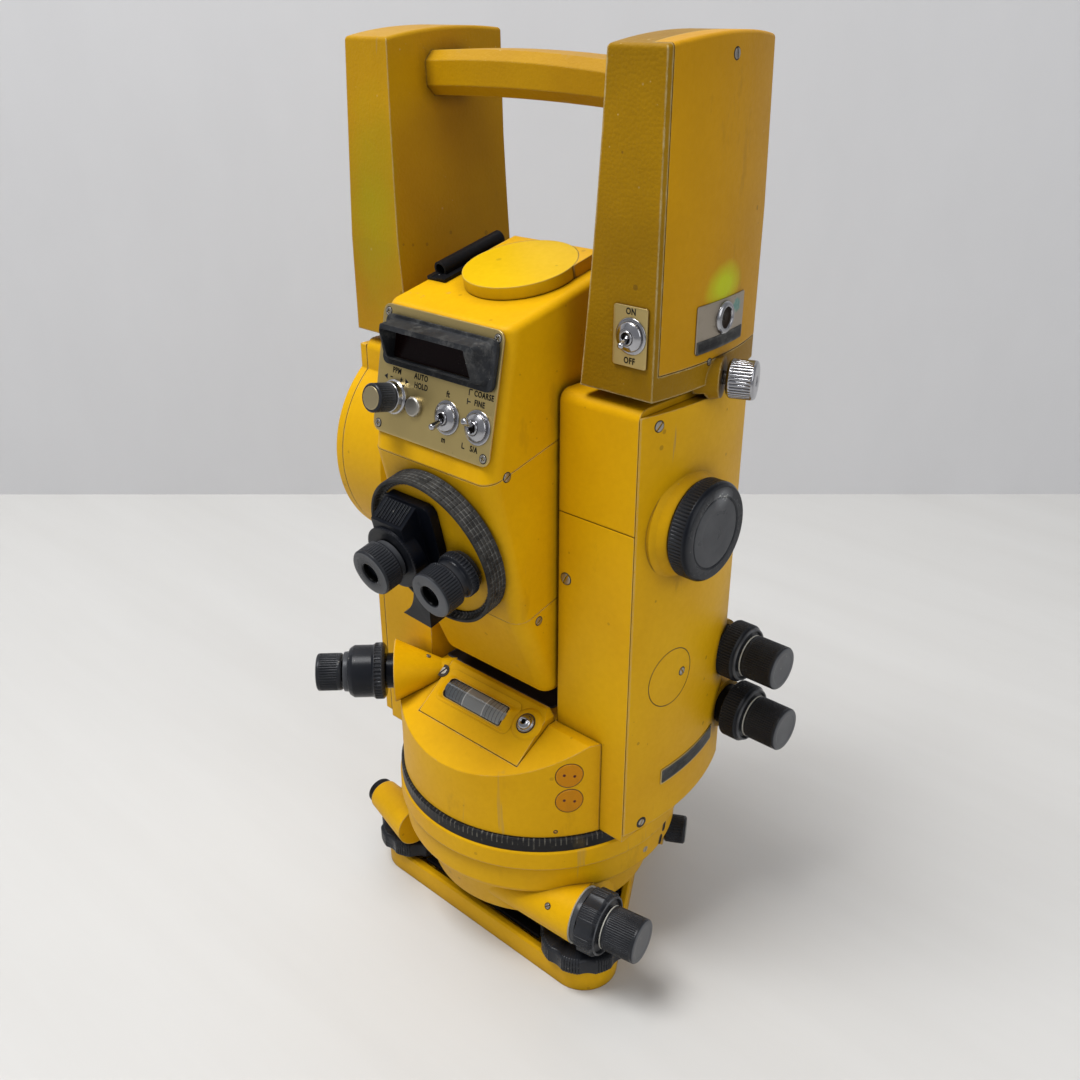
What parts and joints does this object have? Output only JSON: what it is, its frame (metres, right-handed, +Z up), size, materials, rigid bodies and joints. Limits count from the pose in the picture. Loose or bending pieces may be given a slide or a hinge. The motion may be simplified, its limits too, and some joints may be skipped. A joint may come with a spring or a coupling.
{
  "type": "surveying total station",
  "caption": "Surveying total station on a levelling base: tilting telescope with distance meter, two standards, carrying handle with battery tower, clamp and slow motion knobs.",
  "frame": {"origin": "on the vertical turning axis, at the underside of the base plate where the tripod screw enters", "axes": "+Z up along the vertical turning axis; the operator stands on the -Y side and reads the eyepieces; +X towards the operator's right, along the telescope's tilting axis, on the battery side"},
  "size_m": [0.1782, 0.1715, 0.387],
  "materials": {
    "yellow_paint": "wrinkle finish golden yellow paint on cast aluminium, satin",
    "black_paint": "satin black enamel",
    "black_anodised": "black anodised, worn grey on its edges",
    "black_rubber": "diamond knurled",
    "black_plastic": "glossy",
    "dark_window": "smoked, glossy",
    "silver_panel": "champagne, fine satin",
    "bright_steel": "plated",
    "steel": "turned",
    "brass": "satin",
    "optical_glass": "polished",
    "cell_wrap": "shrink wrap"
  },
  "bodies": {
    "base": {"base_plate": "yellow_paint", "spring_plate": "black_paint", "tribrach_body": "yellow_paint", "axis_bush": "brass", "lower_clamp_stem": "black_anodised"},
    "foot_screw_1": {"foot_screw_1": "black_anodised"},
    "foot_screw_2": {"foot_screw_2": "black_anodised"},
    "foot_screw_3": {"foot_screw_3": "black_anodised"},
    "circle_drive_knob": {"circle_drive_knob": "black_anodised"},
    "lower_clamp_ring": {"lower_clamp_ring": "black_anodised"},
    "lower_tangent_knob": {"lower_tangent_knob": "black_anodised"},
    "lower_plate": {"lower_collar": "yellow_paint", "circle_ring": "black_paint", "horizontal_circle": "optical_glass"},
    "alidade": {"alidade_spindle": "steel", "alidade_drum": "yellow_paint", "vial_housing": "yellow_paint", "vial_tube": "optical_glass", "plummet_housing": "yellow_paint", "plummet_tube": "black_anodised", "right_standard": "yellow_paint", "left_standard": "yellow_paint", "right_side_cover": "yellow_paint", "left_side_cover": "yellow_paint", "trunnion_bearings": "brass", "clamp_stems": "black_anodised", "carry_handle": "yellow_paint", "battery_case": "yellow_paint", "battery_cover": "yellow_paint", "battery_cells": "cell_wrap", "power_fittings": "bright_steel"},
    "plummet_focus_ring": {"plummet_focus_ring": "black_anodised"},
    "plummet_eyepiece": {"plummet_eyepiece": "black_anodised"},
    "micrometer_knob": {"micrometer_knob": "black_anodised"},
    "vertical_clamp_ring": {"vertical_clamp_ring": "black_anodised"},
    "vertical_tangent_knob": {"vertical_tangent_knob": "black_anodised"},
    "horizontal_clamp_ring": {"horizontal_clamp_ring": "black_anodised"},
    "horizontal_tangent_knob": {"horizontal_tangent_knob": "black_anodised"},
    "power_toggle": {"power_toggle": "bright_steel"},
    "battery_thumbscrew": {"battery_thumbscrew": "bright_steel"},
    "telescope": {"edm_housing": "yellow_paint", "telescope_housing": "yellow_paint", "telescope_base": "yellow_paint", "display_panel": "silver_panel", "display_hood": "black_plastic", "display_glass": "dark_window", "top_cap": "yellow_paint", "peep_sight": "black_paint", "prism_block": "black_paint", "trunnion_axles": "steel", "vertical_circle": "optical_glass", "objective_cell": "black_paint", "objective_lens": "optical_glass"},
    "ppm_knob": {"ppm_knob": "brass"},
    "hold_button": {"hold_button": "silver_panel"},
    "unit_toggle": {"unit_toggle": "bright_steel"},
    "mode_toggle": {"mode_toggle": "bright_steel"},
    "focus_ring": {"focus_ring": "black_rubber"},
    "main_eyepiece": {"main_eyepiece": "black_anodised"},
    "reading_eyepiece": {"reading_eyepiece": "black_anodised"}
  },
  "joints": [
    {"name": "foot_screw_1_turn", "type": "hinge", "parent": "base", "child": "foot_screw_1", "pos_m": [0.05473, -0.0316, 0.017], "axis": [0, 0, 1], "range_deg": [-720, 720]},
    {"name": "foot_screw_2_turn", "type": "hinge", "parent": "base", "child": "foot_screw_2", "pos_m": [-0.05473, -0.0316, 0.017], "axis": [0, 0, 1], "range_deg": [-720, 720]},
    {"name": "foot_screw_3_turn", "type": "hinge", "parent": "base", "child": "foot_screw_3", "pos_m": [0, 0.0632, 0.017], "axis": [0, 0, 1], "range_deg": [-720, 720]},
    {"name": "circle_drive_knob_turn", "type": "hinge", "parent": "base", "child": "circle_drive_knob", "pos_m": [0.05776, 0.03271, 0.0394], "axis": [0.8704, 0.4924, 0], "continuous": true},
    {"name": "lower_clamp_turn", "type": "hinge", "parent": "base", "child": "lower_clamp_ring", "pos_m": [0.06706, -0.03668, 0.0375], "axis": [0.9857, 0.1685, 0], "range_deg": [-40, 40]},
    {"name": "lower_tangent_turn", "type": "hinge", "parent": "base", "child": "lower_tangent_knob", "pos_m": [0.08027, -0.03442, 0.0375], "axis": [0.9857, 0.1685, 0], "range_deg": [-720, 720]},
    {"name": "lower_plate_turn", "type": "hinge", "parent": "base", "child": "lower_plate", "pos_m": [0, 0, 0.066], "axis": [0, 0, 1], "continuous": true},
    {"name": "alidade_turn", "type": "hinge", "parent": "lower_plate", "child": "alidade", "pos_m": [0, 0, 0.0773], "axis": [0, 0, 1], "continuous": true},
    {"name": "plummet_focus_turn", "type": "hinge", "parent": "alidade", "child": "plummet_focus_ring", "pos_m": [-0.05657, -0.05657, 0.1216], "axis": [-0.7071, -0.7071, 0], "range_deg": [-150, 150]},
    {"name": "plummet_eyepiece_turn", "type": "hinge", "parent": "alidade", "child": "plummet_eyepiece", "pos_m": [-0.06788, -0.06788, 0.1216], "axis": [-0.7071, -0.7071, 0], "range_deg": [-150, 150]},
    {"name": "micrometer_turn", "type": "hinge", "parent": "alidade", "child": "micrometer_knob", "pos_m": [0.082, 0, 0.2176], "axis": [1, 0, 0], "range_deg": [-200, 200]},
    {"name": "vertical_clamp_turn", "type": "hinge", "parent": "alidade", "child": "vertical_clamp_ring", "pos_m": [0.0746, 0.048, 0.1388], "axis": [1, 0, 0], "range_deg": [-40, 40]},
    {"name": "vertical_tangent_turn", "type": "hinge", "parent": "alidade", "child": "vertical_tangent_knob", "pos_m": [0.088, 0.048, 0.1388], "axis": [1, 0, 0], "range_deg": [-720, 720]},
    {"name": "horizontal_clamp_turn", "type": "hinge", "parent": "alidade", "child": "horizontal_clamp_ring", "pos_m": [0.0791, 0.048, 0.1093], "axis": [1, 0, 0], "range_deg": [-40, 40]},
    {"name": "horizontal_tangent_turn", "type": "hinge", "parent": "alidade", "child": "horizontal_tangent_knob", "pos_m": [0.0925, 0.048, 0.1093], "axis": [1, 0, 0], "range_deg": [-720, 720]},
    {"name": "power_toggle_tilt", "type": "hinge", "parent": "alidade", "child": "power_toggle", "pos_m": [0.0662, -0.0292, 0.2938], "axis": [1, 0, 0], "range_deg": [-52, 0]},
    {"name": "battery_thumbscrew_turn", "type": "hinge", "parent": "alidade", "child": "battery_thumbscrew", "pos_m": [0.08391, 0.01402, 0.2729], "axis": [0.9272, 0.3746, 0], "range_deg": [0, 1080]},
    {"name": "telescope_tilt", "type": "hinge", "parent": "alidade", "child": "telescope", "pos_m": [0, 0, 0.2185], "axis": [1, 0, 0], "continuous": true},
    {"name": "ppm_knob_turn", "type": "hinge", "parent": "telescope", "child": "ppm_knob", "pos_m": [-0.0195, -0.06629, 0.26263], "axis": [0, -0.9789, 0.2045], "range_deg": [-150, 150]},
    {"name": "hold_button_press", "type": "slide", "parent": "telescope", "child": "hold_button", "axis": [0, 0.9789, -0.2045], "range_m": [0, 0.0012], "stiffness_N_per_m": 400, "springref_m": -0.0005},
    {"name": "unit_toggle_tilt", "type": "hinge", "parent": "telescope", "child": "unit_toggle", "pos_m": [0.0083, -0.06018, 0.25962], "axis": [1, 0, 0], "range_deg": [-50, 0]},
    {"name": "mode_toggle_tilt", "type": "hinge", "parent": "telescope", "child": "mode_toggle", "pos_m": [0.024, -0.06018, 0.25962], "axis": [1, 0, 0], "range_deg": [0, 44]},
    {"name": "focus_ring_turn", "type": "hinge", "parent": "telescope", "child": "focus_ring", "pos_m": [0, -0.06041, 0.20455], "axis": [0, -0.9744, -0.225], "range_deg": [-200, 200]},
    {"name": "main_eyepiece_turn", "type": "hinge", "parent": "telescope", "child": "main_eyepiece", "pos_m": [0.018, -0.06971, 0.20036], "axis": [0, -0.9744, -0.225], "range_deg": [-150, 150]},
    {"name": "reading_eyepiece_turn", "type": "hinge", "parent": "telescope", "child": "reading_eyepiece", "pos_m": [-0.009, -0.08024, 0.20152], "axis": [0, -0.9744, -0.225], "range_deg": [-150, 150]}
  ]
}
